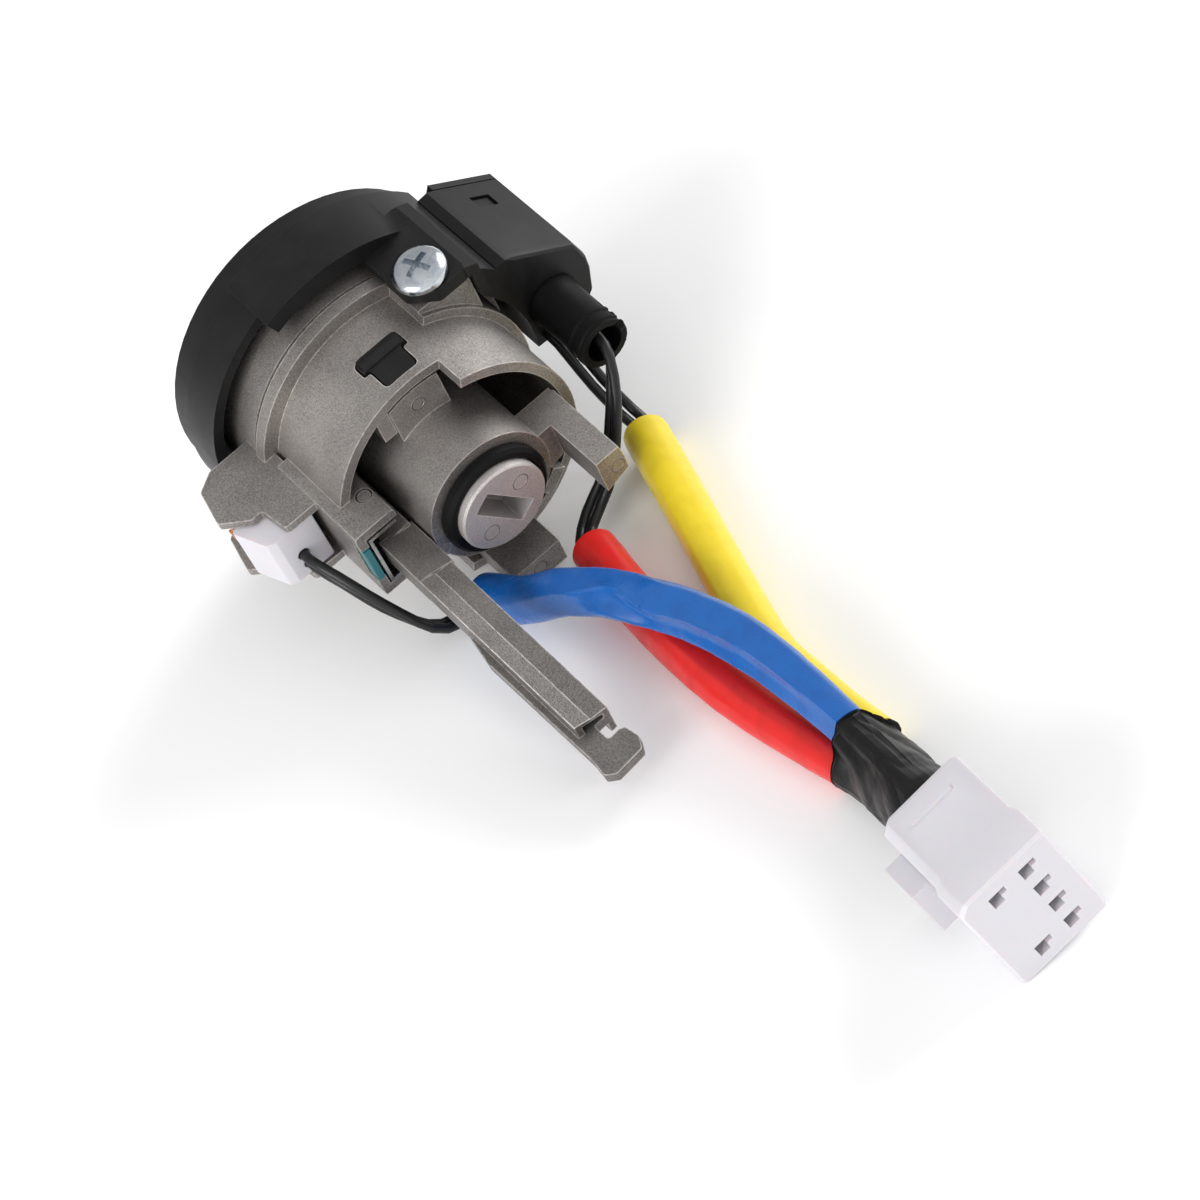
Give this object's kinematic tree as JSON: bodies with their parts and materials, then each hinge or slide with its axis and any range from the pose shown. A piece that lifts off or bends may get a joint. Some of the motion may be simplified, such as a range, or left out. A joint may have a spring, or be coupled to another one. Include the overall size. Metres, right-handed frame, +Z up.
{
  "type": "ignition switch",
  "caption": "Ignition lock cylinder with antenna ring, swinging locking lever, key switch and taped harness to a white connector",
  "frame": {"origin": "on the ground, under the middle of the box of the lock without its harness; the lock rests on the rim of its antenna ring and on the foot of its leg", "axes": "+Z up from the ground, +X level, along the lock from the key end to the drive end and on to the connector, +Y to the right of the lock, on the side of the finger and away from the lever"},
  "size_m": [0.193, 0.0766, 0.0606],
  "materials": {
    "zinc": "grainy zinc die casting with worn bright edges",
    "zinc_bright": "fine-grained bright zinc die casting",
    "steel": "bright pressed steel",
    "plated_steel": "zinc-plated steel",
    "brass": "stamped brass",
    "copper": "orange copper strip",
    "black_plastic": "moulded, finely grained",
    "black_rubber": "soft matte rubber",
    "black_tape": "crumpled glossy vinyl tape",
    "black_wire": "smooth vinyl insulation",
    "white_plastic": "translucent white nylon",
    "teal_plastic": "moulded",
    "board": "solder-masked board",
    "red_pvc": "extruded vinyl sleeve",
    "yellow_pvc": "extruded vinyl sleeve",
    "blue_pvc": "thin flattened vinyl sleeve"
  },
  "bodies": {
    "case": {"antenna_coil": "copper", "antenna_ring": "black_plastic", "bezel": "black_plastic", "blue_sleeve": "blue_pvc", "boot": "black_rubber", "boot_wire_1": "black_wire", "boot_wire_2": "black_wire", "box_lid": "black_plastic", "box_wire_1": "black_wire", "box_wire_2": "black_wire", "circuit_board": "board", "connector_housing": "white_plastic", "connector_retainer": "white_plastic", "guide_pad": "teal_plastic", "inner_body": "zinc", "lever_spring": "steel", "outer_case": "zinc", "pivot_pin": "steel", "red_sleeve": "red_pvc", "screw": "plated_steel", "steel_liner": "steel", "switch_body": "white_plastic", "switch_contact_1": "copper", "switch_contact_2": "copper", "switch_wire_1": "black_wire", "switch_wire_2": "black_wire", "tail_seal": "black_rubber", "tape": "black_tape", "terminal_1": "brass", "terminal_2": "brass", "terminal_3": "brass", "terminal_4": "brass", "terminal_5": "brass", "terminal_6": "brass", "window_snap": "black_plastic", "yellow_sleeve": "yellow_pvc"},
    "rotor": {"rotor_barrel": "zinc_bright", "rotor_face_cap": "steel", "tail_disc": "zinc_bright"},
    "lever": {"lever": "zinc"},
    "plunger": {"switch_plunger": "white_plastic"}
  },
  "joints": [
    {"name": "rotor_turn", "type": "hinge", "parent": "case", "child": "rotor", "pos_m": [0.00454, -0.00185, 0.01968], "axis": [0.9766, 0, -0.215], "range_deg": [0, 110]},
    {"name": "lever_swing", "type": "hinge", "parent": "case", "child": "lever", "pos_m": [-0.00962, -0.01815, 0.0228], "axis": [0.215, 0, 0.9766], "range_deg": [-2.8, 0], "stiffness_Nm_per_rad": 0.2, "springref_deg": 5.73},
    {"name": "plunger_slide", "type": "slide", "parent": "case", "child": "plunger", "axis": [0, 1, 0], "range_m": [0, 0.0007]}
  ],
  "couplings": [
    {"joint": "plunger_slide", "follows": "lever_swing", "m_per_rad": -0.012}
  ]
}
